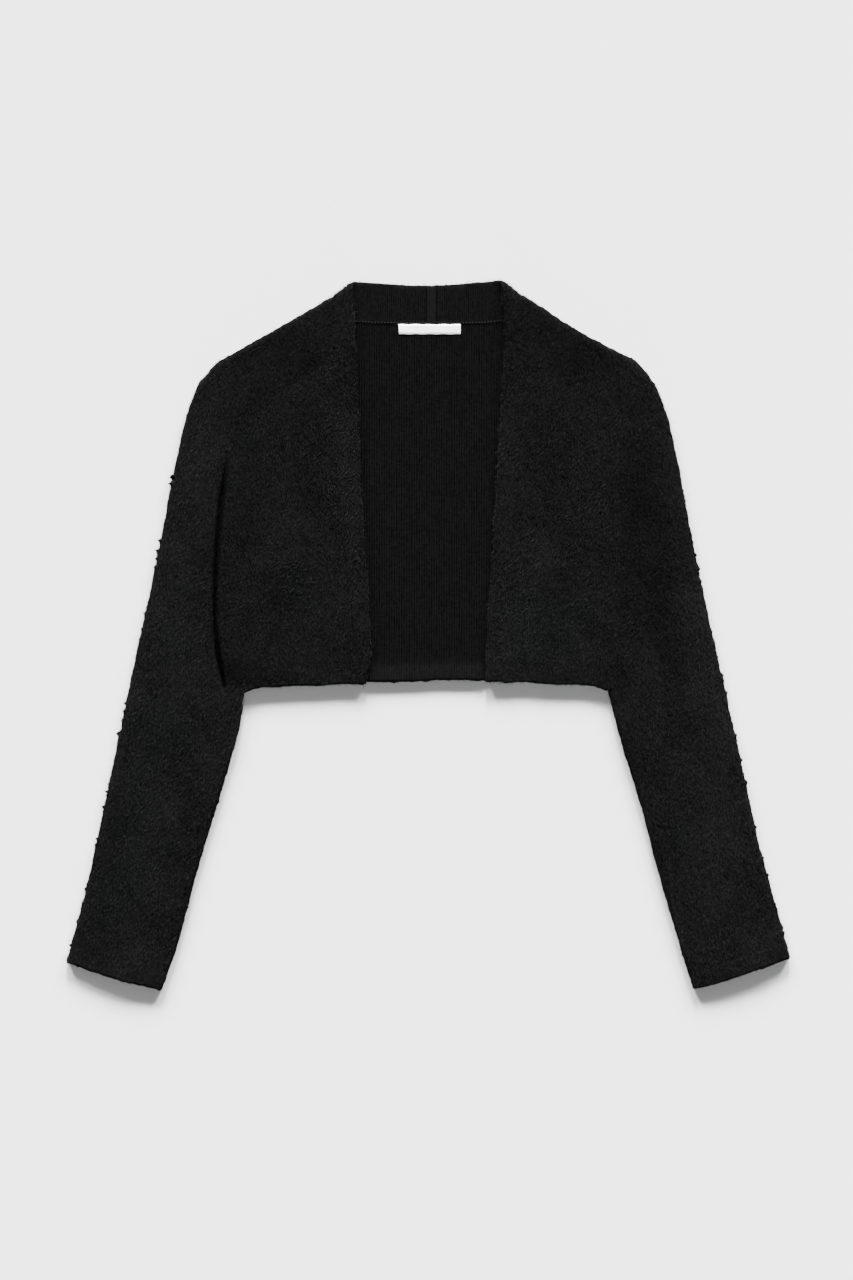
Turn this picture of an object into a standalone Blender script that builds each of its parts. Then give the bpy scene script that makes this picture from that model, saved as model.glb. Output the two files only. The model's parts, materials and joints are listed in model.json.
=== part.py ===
"""A cropped, open-front cardigan in brushed knit, laid flat with its fronts closed over its back.

X runs across the body, Y from the cuffs up to the neck and Z up from the table, all in metres. Left and
right are as seen from above. The under layer lies on the table and the upper layer on it. A folded edge
joins them at the shoulders and down both sides of each sleeve.
"""

import bmesh
import bpy
import numpy as np

# The cloth
WALL = 0.0026
SEAM = 0.0003
LAYER_GAP = 0.0008
TOP = 2 * WALL + LAYER_GAP
MIDDLE = TOP / 2
FOLD_REACH = 0.00285
RIM = 0.866 * WALL / 2
CUFF_BOW = 0.0022

# How the upper layer rises
PUFF = 0.0016
PUFF_AT_BAND = 0.4
LEAST_LIFT = -0.0003
MOST_LIFT = 0.0030
EDGE_RIDGE = 0.0008
EDGE_RIDGE_PLACE = 0.79
EDGE_RIDGE_WIDTH = 0.14
SETTLES_OVER = 0.020

# The deep crease where the left front rolls over the sleeve, by height on the body
CREASE = {"starts": 0.195, "full": 0.140, "eases": -0.020, "ends": -0.056}
CREASE_HEIGHT = 0.0029
CREASE_ROLL = 0.0032
CREASE_RIDGE_WIDTH = 0.026
CREASE_SLEEVE_SLOPE = 0.014
CREASE_WALL = 0.0035

# The shallow valley down the right sleeve head
VALLEY = ((0.217, 0.165), (0.227, 0.095), (0.232, 0.035), (0.220, -0.025))
VALLEY_WIDTH = 0.011
VALLEY_DEPTH = 0.85

# Soft folds of the upper layer: middle, heading in degrees, half length, half width and height
SOFT_FOLDS = (
    # x, y, heading, length, width, height
    (-0.165, 0.215, 35, 0.060, 0.018, 0.0007),
    (-0.150, 0.080, 75, 0.070, 0.022, 0.0008),
    (-0.125, 0.150, 60, 0.050, 0.016, -0.0007),
    (0.140, 0.160, 110, 0.060, 0.020, 0.0007),
    (0.125, 0.020, 85, 0.060, 0.022, 0.0007),
    (0.165, 0.220, 140, 0.050, 0.018, -0.0006),
    (-0.285, -0.005, 78, 0.090, 0.014, 0.0008),
    (-0.240, -0.095, 68, 0.060, 0.012, -0.0008),
    (-0.310, -0.180, 76, 0.070, 0.012, 0.0006),
    (0.262, -0.060, 104, 0.070, 0.014, 0.0009),
    (0.250, -0.130, 108, 0.060, 0.012, -0.0008),
    (0.300, -0.200, 105, 0.080, 0.013, 0.0006),
)

# Plan of the garment, by side. Points are (x, y).
PLAN = {
    "left": {
        "sign": -1,
        "overarm": (
            (-0.198, 0.280),
            (-0.215, 0.268),
            (-0.228, 0.253),
            (-0.238, 0.229),
            (-0.250, 0.181),
            (-0.272, 0.069),
            (-0.293, -0.027),
            (-0.320, -0.155),
            (-0.346, -0.272),
            (-0.361, -0.326),
        ),
        "underarm": (
            (-0.1845, -0.056),
            (-0.187, -0.083),
            (-0.197, -0.123),
            (-0.209, -0.163),
            (-0.231, -0.235),
            (-0.254, -0.320),
            (-0.2665, -0.354),
        ),
        "armhole": (
            (-0.198, 0.280),
            (-0.197, 0.235),
            (-0.200, 0.180),
            (-0.207, 0.135),
            (-0.211, 0.100),
            (-0.2125, 0.035),
            (-0.2125, -0.005),
            (-0.209, -0.027),
            (-0.200, -0.043),
            (-0.1845, -0.056),
        ),
        "shoulder": ((-0.198, 0.280), (-0.153, 0.3055), (-0.108, 0.331)),
        "hem": ((-0.1845, -0.056), (-0.175, -0.0525), (-0.140, -0.050), (-0.097, -0.049)),
        "band_base": (
            (-0.108, 0.331),
            (-0.110, 0.295),
            (-0.108, 0.235),
            (-0.104, 0.135),
            (-0.098, 0.035),
            (-0.097, -0.049),
        ),
        "front_edge": (
            (-0.075, 0.352),
            (-0.073, 0.305),
            (-0.070, 0.235),
            (-0.066, 0.135),
            (-0.060, 0.035),
            (-0.0585, -0.030),
            (-0.062, -0.0495),
        ),
        "neck_seam": (
            (-0.108, 0.331),
            (-0.095, 0.321),
            (-0.075, 0.314),
            (-0.053, 0.3128),
            (0.0035, 0.3125),
        ),
        "neck_edge": ((-0.075, 0.352), (-0.050, 0.3505), (-0.023, 0.3485), (0.0035, 0.347)),
    },
    "right": {
        "sign": 1,
        "overarm": (
            (0.202, 0.276),
            (0.218, 0.261),
            (0.227, 0.248),
            (0.235, 0.229),
            (0.247, 0.181),
            (0.265, 0.085),
            (0.285, -0.007),
            (0.304, -0.091),
            (0.330, -0.211),
            (0.361, -0.325),
        ),
        "underarm": (
            (0.180, -0.055),
            (0.187, -0.083),
            (0.198, -0.123),
            (0.211, -0.163),
            (0.230, -0.235),
            (0.265, -0.353),
        ),
        "armhole": (
            (0.202, 0.276),
            (0.201, 0.235),
            (0.204, 0.180),
            (0.210, 0.125),
            (0.213, 0.075),
            (0.213, 0.015),
            (0.208, -0.020),
            (0.197, -0.041),
            (0.180, -0.055),
        ),
        "shoulder": ((0.202, 0.276), (0.151, 0.303), (0.107, 0.331)),
        "hem": ((0.180, -0.055), (0.172, -0.052), (0.122, -0.0485), (0.096, -0.0470)),
        "band_base": (
            (0.107, 0.331),
            (0.1135, 0.300),
            (0.112, 0.235),
            (0.107, 0.155),
            (0.102, 0.075),
            (0.097, -0.005),
            (0.096, -0.0470),
        ),
        "front_edge": (
            (0.072, 0.3552),
            (0.0755, 0.335),
            (0.077, 0.305),
            (0.074, 0.235),
            (0.069, 0.155),
            (0.064, 0.075),
            (0.059, -0.005),
            (0.058, -0.0468),
        ),
        "neck_seam": (
            (0.107, 0.331),
            (0.094, 0.321),
            (0.073, 0.314),
            (0.050, 0.3128),
            (0.0035, 0.3125),
        ),
        "neck_edge": ((0.072, 0.3552), (0.052, 0.351), (0.027, 0.3485), (0.0035, 0.347)),
    },
}
BACK_HEM = (
    (-0.1845, -0.056),
    (-0.172, -0.0515),
    (-0.120, -0.0485),
    (-0.058, -0.047),
    (0.003, -0.045),
    (0.055, -0.0455),
    (0.120, -0.0478),
    (0.168, -0.0505),
    (0.180, -0.055),
)

# The turned-back edges of the band's join at the middle of the back neck
JOIN_WIDTH = 0.0045
JOIN_STEP = 0.0008
JOIN_RISE = 0.0006

# The neck label
LABEL_WIDTH, LABEL_HEIGHT, LABEL_WALL = 0.063, 0.0110, 0.0006
LABEL_MIDDLE = (0.0015, 0.3062)

# Where the sections are taken, as shares of each line
DOWN = (0.09, 0.18, 0.27, 0.35, 0.43, 0.51, 0.59, 0.67, 0.75, 0.82, 0.87, 0.91, 0.945, 0.975)
DOWN_UNDER = (0.2, 0.4, 0.55, 0.7, 0.82, 0.9, 0.955)
NEAR_ARMHOLE = (0, 0.0065, 0.017, 0.032, 0.065, 0.12, 0.18, 0.25)
ALONG_SLEEVE = (*NEAR_ARMHOLE, 0.32, 0.4, 0.48, 0.56, 0.64, 0.72, 0.8, 0.88, 0.95, 1)
ACROSS_FRONT = {
    "left": (0, 0.008, 0.018, 0.032, 0.07, 0.14, 0.25, 0.38, 0.52, 0.68, 0.84, 1),
    "right": (0, 0.1, 0.22, 0.36, 0.5, 0.64, 0.78, 0.9, 1),
}
ACROSS_SHOULDER = (0, 0.2, 0.4, 0.6, 0.8, 1)
ACROSS_NECK = (0.04, 0.14, 0.3, 0.5, 0.75, 1)
ACROSS_BAND = (0, 0.18, 0.36, 0.52, 0.66, 0.78, 0.88, 0.97)
QUARTER = (0, 30, 60, 90)

BRUSHED = {"color": (0.0098, 0.0098, 0.0102, 1), "roughness": 0.95}
PLAIN = {"color": (0.0068, 0.0068, 0.0072, 1), "roughness": 0.92}
WHITE_TAPE = {"color": (0.82, 0.82, 0.80, 1), "roughness": 0.55}


class Line:
    """A smooth line through a table of points, read by its share of length."""

    def __init__(self, points, shift=(0, 0)):
        knots = np.array(points) + shift
        reach = np.concatenate(([0], np.cumsum(np.linalg.norm(np.diff(knots, axis=0), axis=1))))
        slopes = np.gradient(knots, reach, axis=0)
        steps = np.linspace(0, 1, 16, endpoint=False)[:, None]
        runs = []
        for i, span in enumerate(np.diff(reach)):
            runs.append(
                (2 * steps**3 - 3 * steps**2 + 1) * knots[i]
                + (steps**3 - 2 * steps**2 + steps) * span * slopes[i]
                + (3 * steps**2 - 2 * steps**3) * knots[i + 1]
                + (steps**3 - steps**2) * span * slopes[i + 1]
            )
        self.points = np.concatenate(runs + [knots[-1:]])
        lengths = np.linalg.norm(np.diff(self.points, axis=0), axis=1)
        self.length = lengths.sum()
        self.shares = np.concatenate(([0], np.cumsum(lengths))) / self.length

    def at(self, share):
        return np.array([np.interp(share, self.shares, axis) for axis in self.points.T])

    def heading(self, share):
        ahead = self.at(min(share + 0.01, 1)) - self.at(max(share - 0.01, 0))
        return ahead / np.linalg.norm(ahead)

    def distance(self, place):
        return np.linalg.norm(self.points - place, axis=1).min()


def smooth_step(value):
    value = np.clip(value, 0, 1)
    return value * value * (3 - 2 * value)


def blend(a, b, share):
    return a + (b - a) * share


def clear_of_edge(edge, toward, heading):
    """The step along a line that takes it one unit square off a folded edge."""
    way = (toward - edge) / np.linalg.norm(toward - edge)
    square = abs(way[0] * heading[1] - way[1] * heading[0])
    return way / max(square, 0.3)


def fold(edge, step, degrees, middle=MIDDLE, rise=MIDDLE):
    """Outer and inner points of a folded edge. 0 degrees is its outermost line, 90 its upper face."""
    turn = np.radians(degrees)
    outer = edge + step * FOLD_REACH * (1 - np.cos(turn))
    inner = edge + step * (FOLD_REACH - (FOLD_REACH - WALL) * np.cos(turn))
    outer_z = middle + rise * np.sin(turn)
    inner_z = middle + (rise - WALL) * np.sin(turn)
    return (*outer, outer_z), (*inner, inner_z)


def soft_folds(place):
    """How much the soft folds raise a place on the upper layer."""
    total = 0
    for x, y, heading, length, width, height in SOFT_FOLDS:
        turn = np.radians(heading)
        dx, dy = place[0] - x, place[1] - y
        along = dx * np.cos(turn) + dy * np.sin(turn)
        across = dy * np.cos(turn) - dx * np.sin(turn)
        total += height * np.exp(-((along / length) ** 2) - (across / width) ** 2)
    return total


def crease_strength(y):
    top = smooth_step((CREASE["starts"] - y) / (CREASE["starts"] - CREASE["full"]))
    bottom = smooth_step((y - CREASE["ends"]) / (CREASE["eases"] - CREASE["ends"]))
    return top * bottom


def resting_lift(place, puff, edge_share):
    """The upper layer's rise over its flat height, with the valley on the right sleeve pressed in."""
    lift = (puff + soft_folds(place)) * edge_share
    valley = VALLEY_DEPTH * np.exp(-((VALLEY_LINE.distance(place) / VALLEY_WIDTH) ** 2))
    return np.clip(lift * (1 - valley), LEAST_LIFT, MOST_LIFT)


def front_lift(place, side, share_down, share_across):
    """Outer and inner rise of a front. The left one rolls over at its crease."""
    puff = PUFF * np.sin(np.pi * share_down) ** 0.7 * blend(1, PUFF_AT_BAND, share_across)
    lift = resting_lift(place, puff, np.sin(np.pi * share_down) ** 0.5)
    if side == "right":
        return lift, lift
    off = ARMHOLE["left"].distance(place)
    strength = crease_strength(place[1])
    ridge = np.exp(-((max(off - CREASE_ROLL, 0) / CREASE_RIDGE_WIDTH) ** 2))
    raised = blend(lift, CREASE_HEIGHT, strength * ridge)
    roll = np.sqrt(1 - (1 - min(off / CREASE_ROLL, 1)) ** 2)
    outer = raised * (1 - strength * (1 - roll))
    inner = raised * (1 - strength * (1 - smooth_step((off - WALL) / CREASE_WALL)))
    return outer, min(outer, inner)


def sleeve_lift(place, side, share_around):
    """Rise of a sleeve's upper layer. The left one sinks beside the crease."""
    round_share = max(np.sin(np.pi * share_around), 0)
    lift = resting_lift(place, PUFF * round_share**0.7, round_share**0.5)
    if side == "left":
        beside = smooth_step(ARMHOLE["left"].distance(place) / CREASE_SLEEVE_SLOPE)
        lift *= 1 - crease_strength(place[1]) * (1 - beside)
    return lift


def rounded(outer, inner):
    """Continue a section past its last points with the two points that round its rim."""
    outer, inner = [np.array(p) for p in outer], [np.array(p) for p in inner]
    ahead = (outer[-1] + inner[-1] - outer[-2] - inner[-2]) / 2
    ahead /= np.linalg.norm(ahead)
    middle = (outer[-1] + inner[-1]) / 2
    for row in (outer, inner):
        row.append(middle + (row[-1] - middle) / 2 + ahead * RIM)
    return outer, inner


def rounded_end(sections):
    """Add the section that rounds off the far end of a strip."""
    last, before = sections[-1], sections[-2]
    end = ([], [])
    for i in range(len(last[0])):
        middle = (np.array(last[0][i]) + last[1][i]) / 2
        ahead = middle - (np.array(before[0][i]) + before[1][i]) / 2
        ahead /= np.linalg.norm(ahead)
        for row, points in zip(end, last):
            row.append(middle + (np.array(points[i]) - middle) / 2 + ahead * RIM)
    return sections + [end]


def piece(name, sections, finish, closed=False):
    """Skin a row of sections. Each is its outer points and, face to face with them, its inner points."""
    shape = bmesh.new()
    loops = []
    for outer, inner in sections:
        loops.append([shape.verts.new(point) for point in [*outer, *reversed(inner)]])
    pairs = list(zip(loops, loops[1:]))
    if closed:
        pairs.append((loops[-1], loops[0]))
    for one, other in pairs:
        for i in range(len(one)):
            after = (i + 1) % len(one)
            shape.faces.new((one[i], one[after], other[after], other[i]))
    if not closed:
        for loop in (loops[0], loops[-1]):
            for i in range(len(loop) // 2 - 1):
                shape.faces.new((loop[i], loop[i + 1], loop[-2 - i], loop[-1 - i]))
    bmesh.ops.triangulate(shape, faces=shape.faces)
    bmesh.ops.recalc_face_normals(shape, faces=shape.faces)
    mesh = bpy.data.meshes.new(name)
    shape.to_mesh(mesh)
    shape.free()
    mesh.shade_smooth()
    mesh.set_sharp_from_angle(angle=np.radians(50))
    made = bpy.data.objects.new(name, mesh)
    made.parent = GARMENT
    mesh.materials.append(cloth(name, finish))
    bpy.context.scene.collection.objects.link(made)
    return made


def cloth(name, finish):
    material = bpy.data.materials.new(name)
    material.use_nodes = True
    shader = material.node_tree.nodes["Principled BSDF"]
    shader.inputs["Base Color"].default_value = finish["color"]
    shader.inputs["Roughness"].default_value = finish["roughness"]
    shader.inputs["Metallic"].default_value = 0
    return material


def across_patch(top, bottom, start, end, corners, u, v):
    """A place in a panel with four curved edges: v runs from top to bottom, u from start to end."""
    edges = blend(top, bottom, v) + blend(start, end, u)
    return edges - blend(blend(corners[0], corners[1], u), blend(corners[2], corners[3], u), v)


def make_front(side):
    """A front panel, from the shoulder fold down to the hem, in sections from the armhole to the band."""
    plan = PLAN[side]
    shoulder, hem = Line(plan["shoulder"]), Line(plan["hem"], (0, RIM))
    armhole, base = ARMHOLE[side], Line(plan["band_base"], (plan["sign"] * SEAM, 0))
    corners = (shoulder.at(0), shoulder.at(1), hem.at(0), hem.at(1))
    sections = []
    for u in ACROSS_FRONT[side]:
        ends = shoulder.at(u), hem.at(u)

        def place(v, ends=ends, u=u):
            return across_patch(*ends, armhole.at(v), base.at(v), corners, u, v)

        step = clear_of_edge(place(0), place(0.05), shoulder.heading(u))
        middle, rise = MIDDLE + SEAM / 2, MIDDLE - SEAM / 2
        points = [fold(place(0), step, degrees, middle, rise) for degrees in QUARTER]
        for v in (*DOWN, 1):
            outer, inner = front_lift(place(v), side, v, u)
            points.append(((*place(v), TOP + outer), (*place(v), TOP - WALL + inner)))
        sections.append(rounded(*zip(*points)))
    return piece(f"front_{side}", sections, BRUSHED)


def back_columns():
    """Top point, fold heading or None at the neck seam, for each column of the back from left to right."""
    columns = []
    for side, order in (("left", 1), ("right", -1)):
        plan = PLAN[side]
        neck_x, neck_y = plan["shoulder"][-1]
        shoulder = Line((*plan["shoulder"][:-1], (neck_x + plan["sign"] * SEAM, neck_y)))
        neck = Line(plan["neck_seam"], (0, -SEAM))
        rows = [(shoulder.at(share), shoulder.heading(share)) for share in ACROSS_SHOULDER]
        rows += [(neck.at(share), None) for share in ACROSS_NECK]
        columns.append(rows[::order])
    return columns[0] + columns[1][1:]


def make_back():
    """The back panel, flat on the table, in sections from the left armhole to the right one."""
    columns = back_columns()
    hem = Line(BACK_HEM, (0, RIM))
    left, right = ARMHOLE["left"], ARMHOLE["right"]
    corners = (left.at(0), right.at(0), hem.at(0), hem.at(1))
    sections = []
    for top, heading in columns:
        u = (top[0] - corners[0][0]) / (corners[1][0] - corners[0][0])

        def place(v, top=top, u=u):
            return across_patch(top, hem.at(u), left.at(v), right.at(v), corners, u, v)

        if heading is None:
            step = clear_of_edge(place(0), place(0.05), np.array((1, 0)))
            flat = [place(0) + step * FOLD_REACH * (1 - np.cos(np.radians(degrees))) for degrees in QUARTER]
            points = [((*point, 0), (*point, WALL)) for point in flat]
        else:
            step = clear_of_edge(place(0), place(0.05), heading)
            middle = MIDDLE - SEAM / 2
            points = [fold(place(0), step, -degrees, middle, middle) for degrees in QUARTER]
        points += [((*place(v), 0), (*place(v), WALL)) for v in (*DOWN_UNDER, 1)]
        sections.append(rounded(*zip(*points)))
    return piece("back", sections, PLAIN)


def make_sleeve(side):
    """A sleeve: a flat tube, in lengthwise sections taken all round it."""
    plan = PLAN[side]
    over, under = Line(plan["overarm"]), Line(plan["underarm"])
    armhole = Line(plan["armhole"], (plan["sign"] * SEAM, -SEAM / 2))
    half_turn = [-degrees for degrees in QUARTER[:0:-1]] + list(QUARTER)
    rings = []
    for t in ALONG_SLEEVE:
        ends = over.at(t), under.at(t)

        def place(v, ends=ends, t=t):
            armhole_bow = armhole.at(v) - blend(over.at(0), under.at(0), v)
            cuff_bow = over.heading(1) * CUFF_BOW * np.sin(np.pi * v)
            return blend(*ends, v) + armhole_bow * (1 - t) ** 3 + cuff_bow * t**8

        first = clear_of_edge(place(0), place(0.05), over.heading(t))
        last = clear_of_edge(place(1), place(0.95), under.heading(t))
        ring = [fold(place(0), first, degrees) for degrees in half_turn]
        for v in DOWN:
            height = TOP + sleeve_lift(place(v), side, v)
            ring.append(((*place(v), height), (*place(v), height - WALL)))
        ring += [fold(place(1), last, degrees) for degrees in reversed(half_turn)]
        ring += [((*place(v), 0), (*place(v), WALL)) for v in reversed(DOWN_UNDER)]
        rings.append(ring)
    sections = [rounded(*zip(*lengthwise)) for lengthwise in zip(*rings)]
    return piece(f"sleeve_{side}", sections, BRUSHED, closed=True)


def make_band(side):
    """Half of the neckband: up the front edge, over the shoulder fold and round the back neck."""
    plan = PLAN[side]
    base, edge = Line(plan["band_base"]), Line(plan["front_edge"])
    seam_gap = (plan["sign"] * SEAM / 2, 0)
    neck_base, neck_edge = Line(plan["neck_seam"]), Line(plan["neck_edge"])
    fold_heading = (edge.at(0) - base.at(0)) / np.linalg.norm(edge.at(0) - base.at(0))
    sections = []
    for v in (1, *reversed(DOWN)):
        points = []
        for w in ACROSS_BAND:
            spot = blend(base.at(v), edge.at(v), w)
            puff = PUFF * PUFF_AT_BAND * np.sin(np.pi * v) ** 0.7 * (1 - w)
            lift = resting_lift(spot, puff, np.sin(np.pi * v) ** 0.5)
            ridge = EDGE_RIDGE * np.exp(-(((w - EDGE_RIDGE_PLACE) / EDGE_RIDGE_WIDTH) ** 2))
            settled = smooth_step(np.linalg.norm(spot - blend(base.at(0), edge.at(0), w)) / SETTLES_OVER)
            height = TOP + (lift + ridge) * settled
            points.append(((*spot, height), (*spot, height - WALL)))
        sections.append(rounded(*zip(*points)))
    sections = rounded_end(sections[::-1])[::-1]
    for degrees in (90, 60, 30, 0, -30, -60, -90):
        points = []
        lines = (base, edge) if degrees >= 0 else (neck_base, neck_edge)
        for w in ACROSS_BAND:
            spot = blend(base.at(0), edge.at(0), w)
            toward = blend(lines[0].at(0.03), lines[1].at(0.03), w)
            points.append(fold(spot, clear_of_edge(spot, toward, fold_heading), degrees))
        sections.append(rounded(*zip(*points)))
    turned_back = 1 - JOIN_WIDTH / neck_base.length
    before_it = turned_back - JOIN_STEP / neck_base.length
    for share in (*ACROSS_NECK[1:-1], before_it, turned_back, 1):
        inside = WALL + JOIN_RISE if share >= turned_back else WALL
        spots = [blend(neck_base.at(share), neck_edge.at(share), w) for w in ACROSS_BAND]
        if share == 1:
            spots = [spot + seam_gap for spot in spots]
        sections.append(rounded([(*spot, 0) for spot in spots], [(*spot, inside) for spot in spots]))
    return piece(f"band_{side}", sections, PLAIN)


def make_label():
    """A bare woven label, lying on the back just under the neck seam."""
    x, y = LABEL_MIDDLE
    lower, upper = WALL + SEAM, WALL + SEAM + LABEL_WALL
    sections = []
    for share in np.linspace(-0.5, 0.5, 7):
        rows = [(x + share * LABEL_WIDTH, y + side * LABEL_HEIGHT) for side in (0.5, 0, -0.5)]
        sections.append(([(*row, upper) for row in rows], [(*row, lower) for row in rows]))
    return piece("label", sections, WHITE_TAPE)


for leftover in list(bpy.data.objects):
    bpy.data.objects.remove(leftover, do_unlink=True)
GARMENT = bpy.data.objects.new("cardigan", None)
bpy.context.scene.collection.objects.link(GARMENT)
ARMHOLE = {side: Line(plan["armhole"]) for side, plan in PLAN.items()}
VALLEY_LINE = Line(VALLEY)

make_back()
for each_side in PLAN:
    make_front(each_side)
    make_sleeve(each_side)
    make_band(each_side)
make_label()
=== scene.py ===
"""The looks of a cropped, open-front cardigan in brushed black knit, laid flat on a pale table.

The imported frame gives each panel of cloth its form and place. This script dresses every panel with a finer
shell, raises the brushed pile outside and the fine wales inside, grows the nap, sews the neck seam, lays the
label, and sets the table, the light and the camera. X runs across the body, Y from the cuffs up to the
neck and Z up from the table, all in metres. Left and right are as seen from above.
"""

import json
from itertools import product
from math import atan, ceil, cos, floor, pi, radians, sin

import bmesh
import bpy
import numpy as np
from bpy.props import FloatProperty, FloatVectorProperty, IntProperty, PointerProperty
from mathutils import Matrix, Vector
from mathutils.bvhtree import BVHTree

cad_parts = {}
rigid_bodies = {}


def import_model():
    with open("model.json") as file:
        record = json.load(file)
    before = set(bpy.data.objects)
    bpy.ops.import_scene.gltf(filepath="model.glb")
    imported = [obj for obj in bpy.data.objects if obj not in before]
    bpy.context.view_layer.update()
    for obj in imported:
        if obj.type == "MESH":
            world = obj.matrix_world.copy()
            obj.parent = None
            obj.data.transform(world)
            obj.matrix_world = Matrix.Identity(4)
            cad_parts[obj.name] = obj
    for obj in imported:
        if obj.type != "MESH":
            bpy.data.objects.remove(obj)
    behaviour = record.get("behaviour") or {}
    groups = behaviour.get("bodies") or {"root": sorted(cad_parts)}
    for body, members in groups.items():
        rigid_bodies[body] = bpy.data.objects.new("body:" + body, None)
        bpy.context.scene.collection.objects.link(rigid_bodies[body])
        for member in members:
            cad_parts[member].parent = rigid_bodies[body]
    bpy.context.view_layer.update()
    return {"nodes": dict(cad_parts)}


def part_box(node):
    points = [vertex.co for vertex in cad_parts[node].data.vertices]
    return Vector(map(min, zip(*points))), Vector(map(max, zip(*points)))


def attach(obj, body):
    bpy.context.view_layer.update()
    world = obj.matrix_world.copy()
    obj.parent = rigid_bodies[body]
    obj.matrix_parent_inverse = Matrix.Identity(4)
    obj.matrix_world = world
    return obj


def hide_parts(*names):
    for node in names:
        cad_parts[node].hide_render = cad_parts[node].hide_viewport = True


bl_info = {
    "name": "Brushed Knit Cardigan",
    "version": (1, 0, 0),
    "blender": (4, 5, 0),
    "location": "3D View > Sidebar > Cardigan",
    "description": "Dresses the packed solids of a cropped cardigan in brushed and plain knit",
    "category": "Object",
}

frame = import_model()

# What the frame's solids are made to
WALL = 0.0026
LABEL_WALL = 0.0006
INNER_TOP = 0.0042
JOIN_X = 0.0035
JOIN_HALF = 0.0046
SEAM = 0.0003
UP = Vector((0, 0, 1))

# The turned hem's stitched line and top fold, up from its edge
HEM_LINE = 0.018
HEM_TOP = 0.019

# A place of the cloth shows where this much open air lies before it
AIR = 3 * WALL

# The cloth lies flat where its normal is at least this upright
FLAT = 0.8

# How large the brushed side's forms are, from its single curls to its patches
CURL = 0.0019
FRAY = 0.0034
SMALL_TUFT = 0.0040
TUFT = 0.0052
WAVE = 0.014
PATCH = 0.052

# Each panel: how far its wales lean off the body's, in degrees, its cut's width and length, what it lies on
# and how light it looks, the tone on which painted light and shade are laid. A sleeve also has the depth of
# the bunches on its edges and how full those stand.
PANELS = {
    "back": {"lean": 0, "cut": (0.426, 0.387), "on": ["floor"], "tone_and_painted_light": 0.8},
    "front_left": {"lean": 0, "cut": (0.117, 0.388), "on": ["knit_back"], "tone_and_painted_light": 0.82},
    "front_right": {"lean": 0, "cut": (0.118, 0.387), "on": ["knit_back"], "tone_and_painted_light": 0.90},
    "sleeve_left": {
        "lean": -14.5, "cut": (0.228, 0.630), "on": ["floor"], "tone_and_painted_light": 0.93,
        "bunches": 0.0034, "growth": 0.0004,
    },
    "sleeve_right": {
        "lean": 14.5, "cut": (0.224, 0.630), "on": ["floor"], "tone_and_painted_light": 0.99,
        "bunches": 0.0022, "growth": 0.0011,
    },
    "band_left": {"lean": 0, "cut": (0.038, 0.516), "on": ["knit_back"], "tone_and_painted_light": 0.88},
    "band_right": {"lean": 0, "cut": (0.038, 0.516), "on": ["knit_back"], "tone_and_painted_light": 0.88},
}

# The edges' short hairs: least distance between two, the most on a square metre, and their usual length
BAND_FUZZ = {"Spacing": 0.0006, "Density": 1400000.0, "Length": 0.0030}
OTHER_FUZZ = {"Spacing": 0.0009, "Density": 700000.0, "Length": 0.0023}

# Small creases of the outer side, over the folds that the solids have
CREASES = (
    # x, y, heading, length, width, height
    (-0.232, -0.070, 118, 0.030, 0.0060, 0.0006),
    (-0.222, -0.100, 100, 0.034, 0.0070, -0.0006),
    (-0.168, -0.012, 62, 0.026, 0.0060, 0.0005),
    (-0.120, 0.262, 40, 0.036, 0.0080, -0.0005),
    (-0.182, 0.236, 62, 0.034, 0.0075, 0.0006),
    (0.182, 0.228, 118, 0.036, 0.0080, 0.0006),
    (0.150, 0.010, 112, 0.030, 0.0070, -0.0005),
    (0.206, -0.072, 70, 0.030, 0.0060, 0.0006),
    (0.226, -0.045, 96, 0.040, 0.0070, 0.0005),
    (0.246, -0.190, 100, 0.040, 0.0080, 0.0006),
    (-0.262, -0.220, 82, 0.044, 0.0080, 0.0005),
)

# The deep crease where the left front rolls over the sleeve: places along it and how far its groove and its
# painted shade reach
SLIT = (
    (-0.1990, 0.195, 0.0030),
    (-0.2010, 0.172, 0.0048),
    (-0.2065, 0.135, 0.0058),
    (-0.2105, 0.092, 0.0050),
    (-0.2125, 0.055, 0.0042),
    (-0.2128, 0.010, 0.0038),
    (-0.2105, -0.012, 0.0040),
    (-0.2075, -0.030, 0.0044),
    (-0.2035, -0.053, 0.0030),
)

# How far the neck and shoulder edges stand beyond the solids: places across the body and the reach there
NECK_RISE = (
    (-0.160, 0.0000),
    (-0.115, -0.0010),
    (-0.095, -0.0002),
    (-0.080, 0.0019),
    (-0.020, 0.0017),
    (0.000, 0.0025),
    (0.045, 0.0026),
    (0.071, 0.0002),
    (0.085, 0.0003),
    (0.105, 0.0012),
    (0.140, 0.0004),
    (0.190, 0.0024),
)

# How much higher up the hem lies than on the solids: places across the body and the rise there
HEM_RISE = (
    (-0.200, 0.0000),
    (-0.150, -0.0009),
    (-0.105, 0.0000),
    (-0.078, 0.0017),
    (-0.060, 0.0012),
    (-0.045, 0.0004),
    (-0.010, 0.0001),
    (0.006, 0.0012),
    (0.115, 0.0012),
    (0.135, 0.0003),
    (0.170, 0.0006),
    (0.205, 0.0000),
)
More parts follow.
